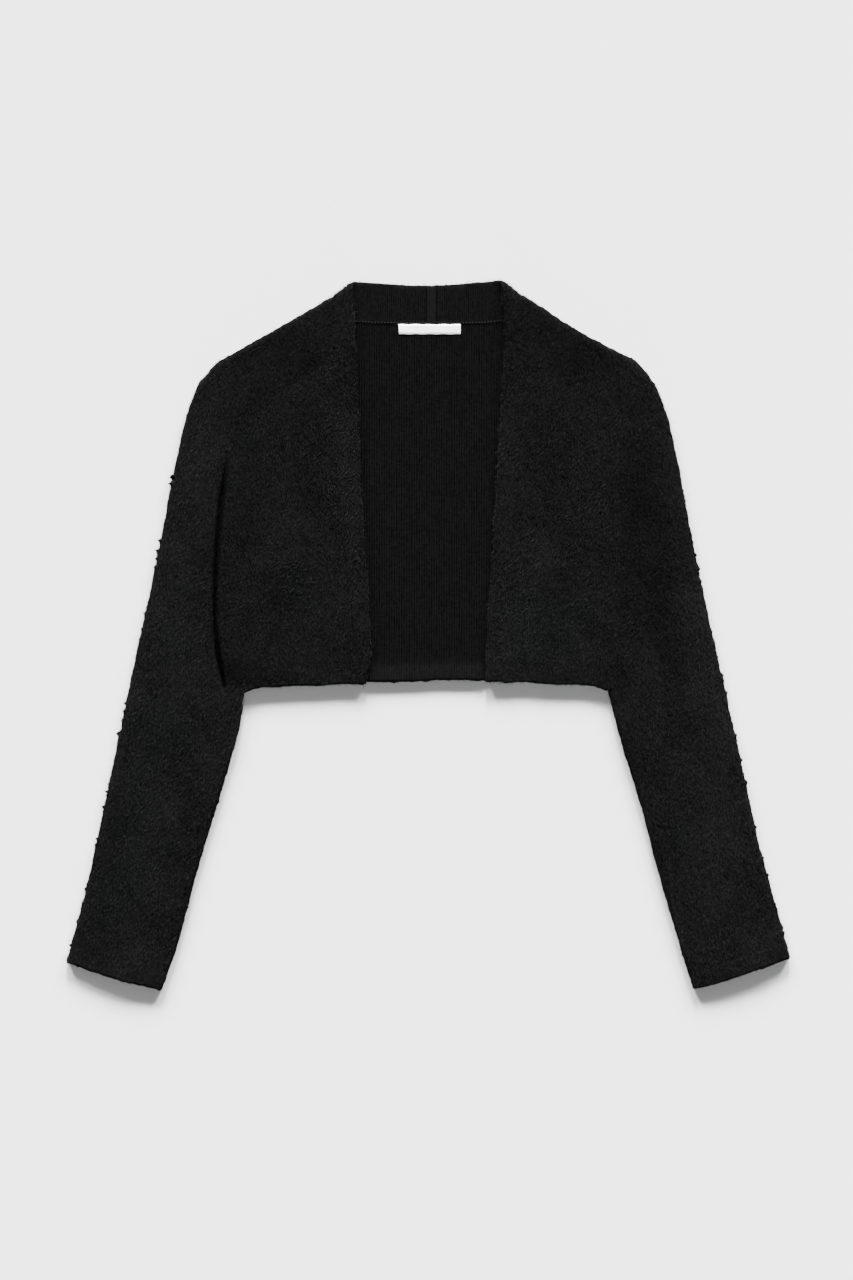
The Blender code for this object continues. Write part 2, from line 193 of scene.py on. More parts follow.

# Patches of painted light and shade over the pile's folds, valleys and ridges, some of them the pile's own
# tone: middle, heading in degrees, half length, half width and change
PAINTED_FOLD_LIGHT_AND_TONES = (
    (0.216, 0.110, 98, 0.085, 0.022, -0.40),
    (0.236, -0.010, 96, 0.070, 0.014, -0.30),
    (-0.150, 0.275, 30, 0.090, 0.045, -0.16),
    (0.150, 0.275, 150, 0.100, 0.050, -0.20),
    (0.100, 0.220, 90, 0.080, 0.035, -0.08),
    (-0.143, 0.240, 35, 0.055, 0.016, 0.12),
    (-0.158, 0.095, 70, 0.050, 0.028, 0.12),
    (-0.110, 0.020, 60, 0.060, 0.022, 0.08),
    (0.230, -0.078, 82, 0.045, 0.009, 0.24),
    (0.287, -0.030, 107, 0.085, 0.018, 0.26),
    (-0.282, 0.010, 74, 0.140, 0.020, 0.14),
    (-0.079, 0.140, 93, 0.200, 0.007, 0.14),
    (0.079, 0.140, 87, 0.200, 0.007, 0.10),
    (0.100, 0.045, 80, 0.080, 0.030, 0.14),
    (-0.320, -0.230, 76, 0.100, 0.030, -0.08),
    (0.205, -0.110, 100, 0.080, 0.018, -0.10),
)


class Value:
    """A node's socket, which takes part in Python expressions: each one adds its Math node."""

    def __init__(self, graph, socket):
        self.graph = graph
        self.socket = socket

    def __add__(self, other):
        return self.graph.math("ADD", self, other)

    def __sub__(self, other):
        return self.graph.math("SUBTRACT", self, other)

    def __rsub__(self, other):
        return self.graph.math("SUBTRACT", other, self)

    def __mul__(self, other):
        return self.graph.math("MULTIPLY", self, other)

    def __truediv__(self, other):
        return self.graph.math("DIVIDE", self, other)

    def __rtruediv__(self, other):
        return self.graph.math("DIVIDE", other, self)

    def __abs__(self):
        return self.graph.math("ABSOLUTE", self)

    __radd__ = __add__
    __rmul__ = __mul__


class Outputs:
    """A node's outputs by name."""

    def __init__(self, graph, node):
        self.graph = graph
        self.node = node

    def __getitem__(self, key):
        return Value(self.graph, socket_named(self.node.outputs, key))


def socket_named(sockets, key):
    if isinstance(key, int):
        return sockets[key]
    return next(s for s in sockets if s.enabled and key in (s.name, s.identifier))


class Graph:
    """Adds nodes to the tree of a material or of a Geometry Nodes modifier."""

    def __init__(self, tree):
        self.tree = tree

    def node(self, kind, settings=None, sockets=None):
        """Add a node of a type: its settings first, then the values or links of its sockets."""
        made = self.tree.nodes.new(kind)
        for key, value in (settings or {}).items():
            setattr(made, key, value)
        for key, value in (sockets or {}).items():
            socket = socket_named(made.inputs, key)
            if isinstance(value, Value):
                self.tree.links.new(value.socket, socket)
            else:
                socket.default_value = value
        return Outputs(self, made)

    def math(self, operation, a, b=0.0):
        return self.node("ShaderNodeMath", {"operation": operation}, {0: a, 1: b})["Value"]

    def vector(self, operation, a, b=(0, 0, 0)):
        return self.node("ShaderNodeVectorMath", {"operation": operation}, {0: a, 1: b})["Vector"]

    def scaled(self, vector, scale):
        sockets = {0: vector, "Scale": scale}
        return self.node("ShaderNodeVectorMath", {"operation": "SCALE"}, sockets)["Vector"]

    def joined(self, x, y, z=0.0):
        return self.node("ShaderNodeCombineXYZ", None, {"X": x, "Y": y, "Z": z})["Vector"]

    def parts(self, vector):
        split = self.node("ShaderNodeSeparateXYZ", None, {"Vector": vector})
        return split["X"], split["Y"], split["Z"]

    def ramp(self, value, low, high):
        """0 up to low, 1 from high on, and a smooth rise between."""
        sockets = {"Value": value, "From Min": low, "From Max": high}
        return self.node("ShaderNodeMapRange", {"interpolation_type": "SMOOTHSTEP"}, sockets)["Result"]

    def noise(self, place, size, detail=1.0, kind="Fac"):
        sockets = {"Vector": place, "Scale": 1 / size, "Detail": detail}
        return self.node("ShaderNodeTexNoise", None, sockets)[kind]

    def push(self, place, size, detail=1.0):
        """A direction that changes from place to place, in whorls of that size."""
        return self.vector("SUBTRACT", self.noise(place, size, detail, "Color"), (0.5, 0.5, 0.5))

    def swirled(self, place, size, reach):
        """The place again, pushed about by up to that reach."""
        return self.vector("ADD", place, self.scaled(self.push(place, size), 2 * reach))

    def curls(self, place, size):
        """Curling ridges about that far apart: 1 along a ridge and 0 between two of them."""
        wave = self.noise(self.swirled(place, 2.4 * size, 1.1 * size), 1.6 * size)
        return 1 - self.ramp(abs(wave - 0.5), 0.0, 0.16)

    def mixed(self, factor, a, b, kind="RGBA"):
        """a where the factor is 0 and b where it is 1: two colours, or two numbers for the kind FLOAT."""
        return self.node("ShaderNodeMix", {"data_type": kind}, {"Factor": factor, "A": a, "B": b})["Result"]

    def painted(self, name, kind="Fac"):
        """What a material reads of the numbers kept on a mesh."""
        return self.node("ShaderNodeAttribute", {"attribute_name": name})[kind]

    def bumped(self, height, distance, strength):
        sockets = {"Height": height, "Distance": distance, "Strength": strength}
        return self.node("ShaderNodeBump", None, sockets)["Normal"]

    def attribute(self, name, kind="FLOAT"):
        """What a Geometry Nodes tree reads of the numbers kept on a mesh."""
        return self.node("GeometryNodeInputNamedAttribute", {"data_type": kind}, {"Name": name})["Attribute"]

    def chance(self, low, high, seed):
        """A number for each point or copy, anywhere between the two."""
        return self.node("FunctionNodeRandomValue", None, {"Min": low, "Max": high, "Seed": seed})["Value"]

    def geometry(self, kind, geometry, settings=None, **sockets):
        """Send geometry through a node that changes it."""
        return self.node("GeometryNode" + kind, settings, {"Geometry": geometry, **sockets})["Geometry"]

    def turned(self, primary, along, secondary, towards):
        """The turn that puts one axis along a direction and a second one towards another."""
        return self.node(
            "FunctionNodeAxesToRotation",
            {"primary_axis": primary, "secondary_axis": secondary},
            {"Primary Axis": along, "Secondary Axis": towards},
        )["Rotation"]


SOCKET_TYPES = {
    float: "NodeSocketFloat",
    int: "NodeSocketInt",
    bpy.types.Material: "NodeSocketMaterial",
    bpy.types.Object: "NodeSocketObject",
}


def run_tree(name, source, build, inputs):
    """A plain mesh made by a Geometry Nodes tree: source goes in, and build adds the nodes between."""
    tree = bpy.data.node_groups.new(name, "GeometryNodeTree")
    for way in ("OUTPUT", "INPUT"):
        tree.interface.new_socket("Geometry", in_out=way, socket_type="NodeSocketGeometry")
    keys = {}
    for key, value in inputs.items():
        socket = tree.interface.new_socket(key, in_out="INPUT", socket_type=SOCKET_TYPES[type(value)])
        keys[socket.identifier] = value
    graph = Graph(tree)
    given = graph.node("NodeGroupInput")
    whole = graph.geometry("RealizeInstances", build(graph, given))
    finished = graph.geometry("SetMaterial", whole, Material=given["Material"])
    graph.node("NodeGroupOutput", None, {"Geometry": finished})
    holder = add_object(name + "_source", source)
    modifier = holder.modifiers.new(name, "NODES")
    modifier.node_group = tree
    for identifier, value in keys.items():
        modifier[identifier] = value
    view = bpy.context.evaluated_depsgraph_get()
    made = holder.evaluated_get(view)
    mesh = bpy.data.meshes.new_from_object(made, preserve_all_data_layers=True, depsgraph=view)
    bpy.data.objects.remove(holder)
    bpy.data.node_groups.remove(tree)
    mesh.name = name
    return mesh


def add_object(name, data):
    made = bpy.data.objects.new(name, data)
    bpy.context.scene.collection.objects.link(made)
    return made


def mesh_of(name, shape):
    """Close a bmesh and give back its mesh."""
    mesh = bpy.data.meshes.new(name)
    shape.to_mesh(mesh)
    shape.free()
    return mesh


def values_of(mesh, kind="co"):
    """The places or the normals of a mesh's points, as rows."""
    source = mesh.vertices if kind == "co" else mesh.vertex_normals
    rows = np.empty(len(mesh.vertices) * 3, np.float32)
    source.foreach_get("co" if kind == "co" else "vector", rows)
    return rows.reshape(-1, 3).astype(float)


def store(mesh, name, values):
    """Keep numbers, or rows of three, on a mesh's points."""
    kind = "FLOAT_VECTOR" if values.ndim == 2 else "FLOAT"
    layer = mesh.attributes.new(name, kind, "POINT")
    layer.data.foreach_set("vector" if values.ndim == 2 else "value", values.astype(np.float32).ravel())


def kept_on(mesh, name):
    """The numbers kept on a mesh's points."""
    values = np.empty(len(mesh.vertices), np.float32)
    mesh.attributes[name].data.foreach_get("value", values)
    return values


def smooth_step(values, start=0.0, length=1.0):
    """0 before the start, 1 after the length, and a smooth rise between. A length below 0 looks back."""
    share = np.clip((values - start) / length, 0, 1)
    return share * share * (3 - 2 * share)


def every_solid():
    """A search tree over all of the frame's solids."""
    places, faces = [], []
    for node in frame["nodes"].values():
        faces += [[len(places) + i for i in face.vertices] for face in node.data.polygons]
        places += [vertex.co.copy() for vertex in node.data.vertices]
    return BVHTree.FromPolygons(places, faces)


def faces_air(solids, place, normal, clear=AIR):
    """Whether nothing of the garment lies within that distance in front of a point on its surface."""
    step = 1e-5
    start, left = place + normal * step, clear
    for _ in range(4):
        hit, hit_normal, _, far = solids.ray_cast(start, normal, left)
        if hit is None:
            return True
        if hit_normal.dot(normal) < 0:
            return False
        start, left = hit + normal * step, left - far
    return True


def cut_along(shape, faces, way, step):
    """Cut faces along upright planes at every step of a level direction, and give back what they become."""
    close = 1e-7

    def cut(some, first, last):
        if first > last or not some:
            return some
        middle = (first + last) // 2
        level = middle * step
        sides, across = ([], []), []
        for face in some:
            reach = [vertex.co.dot(way) for vertex in face.verts]
            if max(reach) <= level + close:
                sides[0].append(face)
            elif min(reach) >= level - close:
                sides[1].append(face)
            else:
                across += [face, *face.edges, *face.verts]
        if across:
            plane = {"plane_co": way * level, "plane_no": way}
            whole = list(dict.fromkeys(across))
            for part in bmesh.ops.bisect_plane(shape, geom=whole, dist=close, **plane)["geom"]:
                if isinstance(part, bmesh.types.BMFace):
                    sides[part.calc_center_median().dot(way) > level].append(part)
        return cut(sides[0], first, middle - 1) + cut(sides[1], middle + 1, last)

    reach = [vertex.co.dot(way) / step for face in faces for vertex in face.verts]
    return cut(faces, ceil(min(reach)), floor(max(reach)))


def grid_cells(shape, faces, ways, steps):
    """Turn faces into the cells of an even grid, without the facets that they had."""
    for way, step in zip(ways, steps):
        faces = cut_along(shape, faces, way, step)
    ours = set(faces)

    def on_grid(edge):
        for way, step in zip(ways, steps):
            first, second = (vertex.co.dot(way) / step for vertex in edge.verts)
            if abs(first - second) < 1e-4 and abs(first - round(first)) < 1e-3:
                return True
        return False

    gone = []
    for edge in dict.fromkeys(edge for face in faces for edge in face.edges):
        if edge.calc_face_angle(9) < radians(10) and all(face in ours for face in edge.link_faces):
            if not on_grid(edge):
                gone.append(edge)
    bmesh.ops.dissolve_edges(shape, edges=gone, use_verts=True)


def mark_air(shape, solids):
    """Mark the points that open air lies before, or above on an upper side, and as bare those in no seam."""
    air, bare = (shape.verts.layers.float[name] for name in ("air", "bare"))
    shape.normal_update()
    for vertex in shape.verts:
        vertex[bare] = vertex[air] = float(faces_air(solids, vertex.co, vertex.normal))
        if any(face.normal.z > FLAT for face in vertex.link_faces):
            vertex[air] = float(faces_air(solids, vertex.co, UP))
        level = Vector((vertex.normal.x, vertex.normal.y, 0))
        if vertex[bare] and level.length > 0.3:
            within = vertex.co - Vector((0, 0, 0.3 * WALL * vertex.normal.z))
            vertex[bare] = float(faces_air(solids, within, level.normalized()))


def refined_form(node, solids, settings):
    """A solid of the frame as even cells, finer where they show, with what faces open air marked."""
    on_table, inner_side = 0.0003, 1.6 * WALL
    soft, sharp = radians(25), radians(40)
    shape = bmesh.new()
    shape.from_mesh(frame["nodes"][node].data)
    bmesh.ops.remove_doubles(shape, verts=shape.verts, dist=1e-6)
    turn = radians(PANELS[node]["lean"])
    ways = (Vector((cos(turn), sin(turn), 0)), Vector((sin(turn), -cos(turn), 0)))
    coarse, fine = settings.under_cell, settings.cell
    grid_cells(shape, list(shape.faces), ways, (coarse, coarse))
    for name in ("air", "bare"):
        shape.verts.layers.float.new(name)
    mark_air(shape, solids)
    air = shape.verts.layers.float["air"]
    showing, inside = [], []
    for face in shape.faces:
        corners = face.verts
        if not any(vertex[air] for vertex in corners) or all(vertex.co.z < on_table for vertex in corners):
            continue
        plain = face.calc_center_median().z < inner_side and face.normal.z > 0.6
        (inside if plain and not node.startswith("sleeve") else showing).append(face)
    if inside:
        pitch = settings.band_pitch if node.startswith("band") else settings.wale_pitch
        grid_cells(shape, inside, ways, (pitch / 2, coarse / 2))
        showing = [face for face in showing if face.is_valid]
    grid_cells(shape, showing, ways, (fine, fine))
    bmesh.ops.remove_doubles(shape, verts=shape.verts, dist=0.00025)
    bmesh.ops.triangulate(shape, faces=shape.faces)
    shape.normal_update()
    top = [vertex for vertex in shape.verts if abs(vertex.normal.z) > FLAT]
    top = [vertex for vertex in top if all(edge.calc_face_angle(9) < soft for edge in vertex.link_edges)]
    for _ in range(3):
        bmesh.ops.smooth_vert(shape, verts=top, factor=0.5, use_axis_z=True)
    mark_air(shape, solids)
    for edge in shape.edges:
        if edge.calc_face_angle(0) > sharp:
            side = min(edge.link_faces, key=lambda face: abs(face.normal.z))
            edge.smooth = faces_air(solids, side.calc_center_median(), side.normal, WALL)
    return shape


def grain_of(points, lean):
    """Places as rows: across the wales, down along them, and up."""
    turn = radians(lean)
    x, y, z = points.T
    return np.array((x * cos(turn) + y * sin(turn), x * sin(turn) - y * cos(turn), z))


def furthest_line(node, lean=0.0, swapped=False):
    """How far along its grain a solid reaches at places across it, or how far across at places along it."""
    mesh = frame["nodes"][node].data
    across, along = grain_of(values_of(mesh), lean)[:2]
    if swapped:
        across, along = along, -across
    ends = np.array([edge.vertices[:] for edge in mesh.edges])
    first, second = across[ends[:, 0]], across[ends[:, 1]]
    apart = 0.003
    places = np.arange(across.min() + 1e-4, across.max(), apart)
    reach = []
    for place in places:
        over = (first - place) * (second - place) < 0
        share = (place - first[over]) / (second[over] - first[over])
        reach.append((along[ends[over, 0]] * (1 - share) + along[ends[over, 1]] * share).max())
    return places, np.array(reach)


def spread_over(points, table):
    """The sum of soft patches, each long one way and narrow across it, at every place."""
    total = np.zeros(len(points))
    for x, y, heading, length, width, height in table:
        dx, dy = points[:, 0] - x, points[:, 1] - y
        along = dx * cos(radians(heading)) + dy * sin(radians(heading))
        across = dy * cos(radians(heading)) - dx * sin(radians(heading))
        total += height * np.exp(-((along / length) ** 2) - (across / width) ** 2)
    return total


def deep_crease(node, points):
    """How far each place is off the deep crease, how far its groove and its painted shade reach, and whether
    it lies beside it.
    """
    x, y, _ = points.T
    slit_x, slit_y, slit_reach = np.array(SLIT)[::-1].T
    off, reach = np.abs(x - np.interp(y, slit_y, slit_x)), np.interp(y, slit_y, slit_reach)
    beside = smooth_step(y, 0.190, -0.05) * smooth_step(y, -0.060, 0.012)
    return off, reach, beside * (node in ("front_left", "sleeve_left"))


def light_on(node, points, normals, outer, bare):
    """How light a panel is: its own tone, patches of painted light and shade over its folds and ridges with
    some of its own tone, painted light on edge walls facing away from the key lights, and on the back
    painted light beside the bands' edges.
    """
    x, y, _ = points.T
    level = PANELS[node]["tone_and_painted_light"] * (1 + 0.18 * (1 - outer) * (node != "back"))
    # Painted light and shade over folds, valleys and ridges, partly the pile's own tone
    fold_light_and_tone = spread_over(points, PAINTED_FOLD_LIGHT_AND_TONES) if node != "back" else 0
    # Painted light on the edge walls that face away from the key lights, where they would lie in shade
    sideways = 1.5 - 1.8 * np.abs(normals[:, 2]) + 0.5 * np.clip(-normals[:, 1], 0, 0.7)
    painted_rim_light = (0.9 - 1.1 * np.clip(normals[:, 1], -1, 0.8)) * np.clip(sideways, 0, 1)
    painted_rim_light *= bare
    if node == "back":
        # Painted light on the back beside the bands' edges, to lighten the shadow that the bands cast there
        width = 0.0030
        off_left = x - np.interp(y, *furthest_line("band_left", 180, swapped=True))
        off_right = x + np.interp(-y, *furthest_line("band_right", swapped=True))
        beside = 0.35 * np.exp(-((off_left / width) ** 2)) + 0.15 * np.exp(-((off_right / width) ** 2))
        painted_rim_light += beside * (y < 0.300)
    return level * (1 + fold_light_and_tone + painted_rim_light)


def lay_cloth(node, points, faces_up, hem):
    """Shape a panel beyond its solid: the front's corner, creases, and edges where the real ones lie."""
    x, y, z = points.T
    off, reach, beside = deep_crease(node, points)
    if node in ("front_left", "sleeve_left"):
        down, left = furthest_line("front_left", swapped=True)
        off_seam = np.abs(x + np.interp(-y, down, left))
        filled = smooth_step(y, -0.020, -0.014) * smooth_step(off_seam, 0.016, -0.008)
        full = 0.0062 + 0.0022 * smooth_step(x, -0.209, 0.010) * smooth_step(y, -0.052, 0.03)
        z += np.maximum(full - z, 0) * filled * (faces_up > 0.3)
    if node == "back":
        hem_lift = 0.0020
        between_fronts = smooth_step(np.abs(x + 0.003), 0.063, -0.010)
        z += hem_lift * smooth_step(hem, 0.024, -0.026) * between_fronts
    depth = 0.0022
    slit = np.exp(-((off / (0.45 * reach)) ** 2)) * beside * depth
    z += (spread_over(points, CREASES) - slit) * faces_up
    neck_foot, neck_top = 0.3125 - 0.09 * smooth_step(np.abs(x), 0.085, 0.03), 0.345
    y += np.interp(x, *np.array(NECK_RISE).T) * smooth_step(y, neck_foot, neck_top - neck_foot)
    if not node.startswith("sleeve"):
        y += np.interp(x, *np.array(HEM_RISE).T) * smooth_step(y, -0.020, -0.025)
    if node == "sleeve_right":
        cuff_lift = 0.0030
        y += cuff_lift * smooth_step(x, 0.270, 0.060) * smooth_step(1 - hem / 0.10)


def panel_mesh(node, solids, settings):
    """A panel's fine shell, with what its materials and its nap read kept on its points."""
    lean = PANELS[node]["lean"]
    mesh = mesh_of(node, refined_form(node, solids, settings))
    points, normals = values_of(mesh), values_of(mesh, "normal")
    outer = smooth_step(1 + (0.0003 + (points[:, 2] - INNER_TOP) * normals[:, 2]) / 0.0004)
    grain = grain_of(points, lean)
    edge = furthest_line(node if node.startswith("sleeve") else "back", lean)
    hem = np.interp(grain[0], *edge) - grain[1]
    off, reach, beside = deep_crease(node, points)
    # Painted shade in the deep crease, where the slit lies in shadow
    crease_shade = smooth_step(off, reach, -0.75 * reach) * beside
    if node == "back":
        points[(outer < 0.5) & (normals[:, 2] > 0.7), 2] = WALL
    # The panel's tone with its painted light and shade, darker still with painted shade in the deep crease
    tone_and_painted_light = light_on(node, points, normals, outer, kept_on(mesh, "bare")) * (1 - 0.5 * crease_shade)
    kept = {"outer": outer, "tone_and_painted_light": tone_and_painted_light, "grain": grain.T.copy(), "hem": hem, "crease_shade": crease_shade}
    for name, values in kept.items():
        store(mesh, name, values)
    lay_cloth(node, points, np.clip(normals[:, 2], 0, 1) * outer, hem)
    mesh.vertices.foreach_set("co", points.astype(np.float32).ravel())
    mesh.update()
    return mesh


def cloth_area(node):
    """The flat area of a panel's cloth: its solid's volume over its wall."""
    mesh = frame["nodes"][node].data
    points = values_of(mesh)
    mesh.calc_loop_triangles()
    corners = np.array([triangle.vertices for triangle in mesh.loop_triangles])
    a, b, c = (points[corners[:, i]] for i in range(3))
    return abs((a * np.cross(b, c)).sum()) / 6 / WALL


def raise_surface(graph, given):
    """Tufts outside, wales inside, and small bunches of pile along the folded edges."""
    normal = graph.node("GeometryNodeInputNormal")["Normal"]
    place = graph.node("GeometryNodeInputPosition")["Position"]
    outer, air, bare, hem = (graph.attribute(name) for name in ("outer", "air", "bare", "hem"))
    across, along, up = graph.parts(graph.attribute("grain", "FLOAT_VECTOR"))
    x, y, _ = graph.parts(place)
    sideways, _, upright = graph.parts(normal)
    drawn = graph.joined(across, along * given["Stretch"], up)
    pile = graph.curls(drawn, TUFT) * 0.6 + graph.noise(drawn, SMALL_TUFT) * 0.4
    under = graph.ramp(upright * -1, 0.3, 0.9)
    tufts = given["Pile"] * (pile - graph.mixed(under, 0.45, 1.0, "FLOAT"))
    side = 1 - graph.ramp(abs(upright), 0.45, 0.95)
    outward = graph.ramp(graph.math("SIGN", x) * sideways, 0.1, 0.5)
    low = 1 - graph.ramp(y, 0.15, 0.21)
    lumps = graph.ramp(graph.noise(place, TUFT, 2), 0.59, 0.70) * (0.3 + outward * 0.7) * low
    frayed = graph.noise(place, FRAY, 1) - 0.42 + (graph.noise(place, WAVE, 1) - 0.5) * 1.4
    grown = (given["Growth"] + graph.ramp(y, 0.18, 0.26) * 0.0002) * outward
    bunches = (given["Bunches"] * lumps + given["Frayed"] * frayed + grown) * side * bare
    ribs = 1 + graph.ramp(HEM_TOP - hem, 0.0, 0.002) * 1.4
    wales = given["Wale height"] * ribs * graph.math("COSINE", across * (2 * pi) / given["Wale pitch"])
    groove = (1 - graph.ramp(abs(hem - HEM_LINE), 0.0, 0.0022)) * given["Hem groove"]
    outside = outer * (tufts + bunches - groove)
    inside = (1 - outer) * wales
    rise = (outside + inside) * air + SEAM * (0.4 + 1.2 * (1 - bare) * side)
    x, y, z = graph.parts(graph.vector("ADD", place, graph.scaled(normal, rise)))
    resting = graph.joined(x, y, graph.math("MAXIMUM", z, 0.0))
    moved = graph.geometry("SetPosition", given["Geometry"], Position=resting)
    return graph.geometry("SetShadeSmooth", moved)


def scattered(graph, given, share):
    """Roots spread evenly over the cloth, fewer where that share, kept on it, is low."""
    sockets = {
        "Mesh": given["Geometry"],
        "Distance Min": given["Spacing"],
        "Density Max": given["Density"],
        "Density Factor": graph.attribute(share),
        "Seed": given["Seed"],
    }
    return graph.node("GeometryNodeDistributePointsOnFaces", {"distribute_method": "POISSON"}, sockets)


def planted(graph, roots, bend, lie, size, chances):
    """A bent strand at every root, with a chance number of its own kept under each name."""
    bend = dict(zip(("Start", "Middle", "End"), bend))
    strand = graph.node("GeometryNodeCurveQuadraticBezier", None, {"Resolution": 3, **bend})["Curve"]
    placed = {"Points": roots["Points"], "Instance": strand, "Rotation": lie, "Scale": size}
    strands = graph.node("GeometryNodeInstanceOnPoints", None, placed)["Instances"]
    for name, seed in chances.items():
        kept = {"Name": name, "Value": graph.chance(0.0, 1.0, seed)}
        strands = graph.geometry("StoreNamedAttribute", strands, {"domain": "INSTANCE"}, **kept)
    return graph.geometry("RealizeInstances", strands)


def spun(graph, strands, place, thick):
    """Strands as closed tubes at their places, none of them in the table."""
    lowest = 0.00016
    x, y, z = graph.parts(place)
    laid = graph.joined(x, y, graph.math("MAXIMUM", z, lowest))
    strands = graph.geometry("SetPosition", strands, Position=laid)
    ring = graph.node("GeometryNodeCurvePrimitiveCircle", None, {"Resolution": 3, "Radius": 1.0})["Curve"]
    tubes = {"Curve": strands, "Profile Curve": ring, "Scale": thick, "Fill Caps": True}
    tubes = graph.node("GeometryNodeCurveToMesh", None, tubes)["Mesh"]
    return graph.geometry("SetShadeSmooth", tubes)


def grow_nap(graph, given):
    """Fine strands that lie along the cloth, drawn down its grain in whorls."""
    roots = scattered(graph, given, "nap")
    place = graph.node("GeometryNodeInputPosition")["Position"]
    whorl = graph.noise(place, 0.021, 1) * 2 - 1 + (graph.noise(place, 0.006, 0) - 0.5) * 0.5
    turn = given["Heading"] + given["Swing"] * whorl + graph.chance(-0.8, 0.8, 1)
    heading = graph.joined(graph.math("COSINE", turn), graph.math("SINE", turn))
    lie = graph.turned("Z", roots["Normal"], "X", heading)
    length = given["Length"] * graph.chance(0.6, 1.35, 2)
    size = graph.joined(length, length * graph.chance(-0.75, 0.75, 3), length)
    bend = ((0, 0, 0), (0.6, 1, 0), (0.9, 0, 0))
    strands = planted(graph, roots, bend, lie, size, {"shade": 4, "stand": 5})
    share = graph.node("GeometryNodeSplineParameter")["Factor"]
    wander = graph.scaled(graph.push(place, 0.0045), share * given["Length"] * given["Curl"])
    strands = graph.geometry("SetPosition", strands, Offset=wander)
    cloth = graph.node("GeometryNodeObjectInfo", None, {"Object": given["Surface"]})["Geometry"]
    nearest = graph.node("GeometryNodeProximity", {"target_element": "FACES"}, {"Geometry": cloth})
    facing = {"Mesh": cloth, "Value": graph.node("GeometryNodeInputNormal")["Normal"]}
    facing = graph.node("GeometryNodeSampleNearestSurface", {"data_type": "FLOAT_VECTOR"}, facing)["Value"]
    stand = graph.attribute("stand")
    arch = graph.math("SINE", share * pi) * (1 - stand * 0.5) + share * given["Stand"] * stand * stand
    lifted = graph.scaled(facing, given["Lift"] * arch + given["Width"] * 0.2)
    thick = given["Width"] * 0.5 * (1 - graph.math("POWER", share, 2.0) * 0.8)
    return spun(graph, strands, graph.vector("ADD", nearest["Position"], lifted), thick)


def grow_fuzz(graph, given):
    """Short curly hairs that stand out from the edges of the cloth."""
    roots = scattered(graph, given, "rim")
    spread = graph.joined(graph.chance(-0.7, 0.7, 1), graph.chance(-0.7, 0.7, 2), graph.chance(-0.5, 0.6, 3))
    heading = graph.vector("ADD", roots["Normal"], spread)
    lie = graph.turned("X", heading, "Z", (0, 0, 1))
    length = given["Length"] * graph.chance(0.4, 1.5, 4)
    size = graph.joined(length, length * graph.chance(-1.0, 1.0, 5), length * graph.chance(-1.0, 1.0, 6))
    bend = ((0, 0, 0), (0.7, 0.6, 0.3), (0.8, -0.3, 0.1))
    hairs = planted(graph, roots, bend, lie, size, {"shade": 7})
    thick = given["Width"] * 0.5 * (1 - graph.node("GeometryNodeSplineParameter")["Factor"] * 0.7)
    return spun(graph, hairs, graph.node("GeometryNodeInputPosition")["Position"], thick)


def sew_row(graph, given):
    """Small lengths of yarn, side by side along a line."""
    line = graph.node("GeometryNodeMeshToCurve", None, {"Mesh": given["Geometry"]})["Curve"]
    even = {"Curve": line, "Length": given["Pitch"]}
    line = graph.node("GeometryNodeResampleCurve", {"mode": "LENGTH"}, even)["Curve"]
    along = graph.node("GeometryNodeInputTangent")["Tangent"]
    lean = graph.joined(0, 0, given["Lean"] + graph.chance(-0.2, 0.2, 1))
    lean = graph.node("FunctionNodeEulerToRotation", None, {"Euler": lean})["Rotation"]
    leaning = {"Rotation": graph.turned("Z", (0, 0, 1), "X", along), "Rotate By": lean}
    leaning = graph.node("FunctionNodeRotateRotation", {"rotation_space": "LOCAL"}, leaning)["Rotation"]
    bead = graph.node("GeometryNodeMeshUVSphere", None, {"Segments": 8, "Rings": 6, "Radius": 0.5})["Mesh"]
    length, width = given["Stitch length"] * graph.chance(0.85, 1.1, 2), given["Stitch width"]
    size = graph.joined(length, width, width)
    placed = {"Points": line, "Instance": bead, "Rotation": leaning, "Scale": size}
    row = graph.node("GeometryNodeInstanceOnPoints", None, placed)["Instances"]
    return graph.geometry("SetShadeSmooth", row)


def surface_material(name, **constants):
    """A new material, its graph and its shader's sockets, with what is the same all over set."""
    material = bpy.data.materials.new(name)
    material.use_nodes = True
    shader = material.node_tree.nodes["Principled BSDF"]
    for key, value in constants.items():
        shader.inputs[key.replace("_", " ")].default_value = value
    return material, Graph(material.node_tree), shader


def connect(graph, shader, colour, normal=None):
    graph.tree.links.new(colour.socket, shader.inputs["Base Color"])
    if normal:
        graph.tree.links.new(normal.socket, shader.inputs["Normal"])


def grey(level):
    return (level, level, level, 1)


def pile_patches(graph):
    """Lighter and darker patches of the pile, from 0 to 1."""
    place = graph.node("ShaderNodeTexCoord")["Object"]
    return graph.ramp(graph.noise(place, PATCH, 2), 0.30, 0.72)


def brushed_material(colours):
    """Black brushed knit: swirled pile with lighter and darker patches."""
    material, graph, shader = surface_material("brushed_knit", Roughness=0.95, Specular_IOR_Level=0.001)
    across, along, up = graph.parts(graph.painted("grain", "Vector"))
    drawn = graph.joined(across, along * 0.42, up)
    curls = graph.curls(drawn, CURL)
    fibres = graph.noise(graph.swirled(drawn, 0.006, 0.0018), 0.0010, 2)
    light = pile_patches(graph) * 0.16 + curls * 0.08 + graph.ramp(fibres, 0.38, 0.62) * 0.60 + 0.06
    # Painted light and shade kept on the points, and more painted shade in the deep crease
    light = light * graph.painted("tone_and_painted_light") * (1 - 0.75 * graph.painted("crease_shade"))
    colour = graph.mixed(light, tuple(colours.pile_shade), tuple(colours.pile_light))
    connect(graph, shader, colour, graph.bumped(curls * 0.3 + fibres, 0.00028, 0.9))
    return material


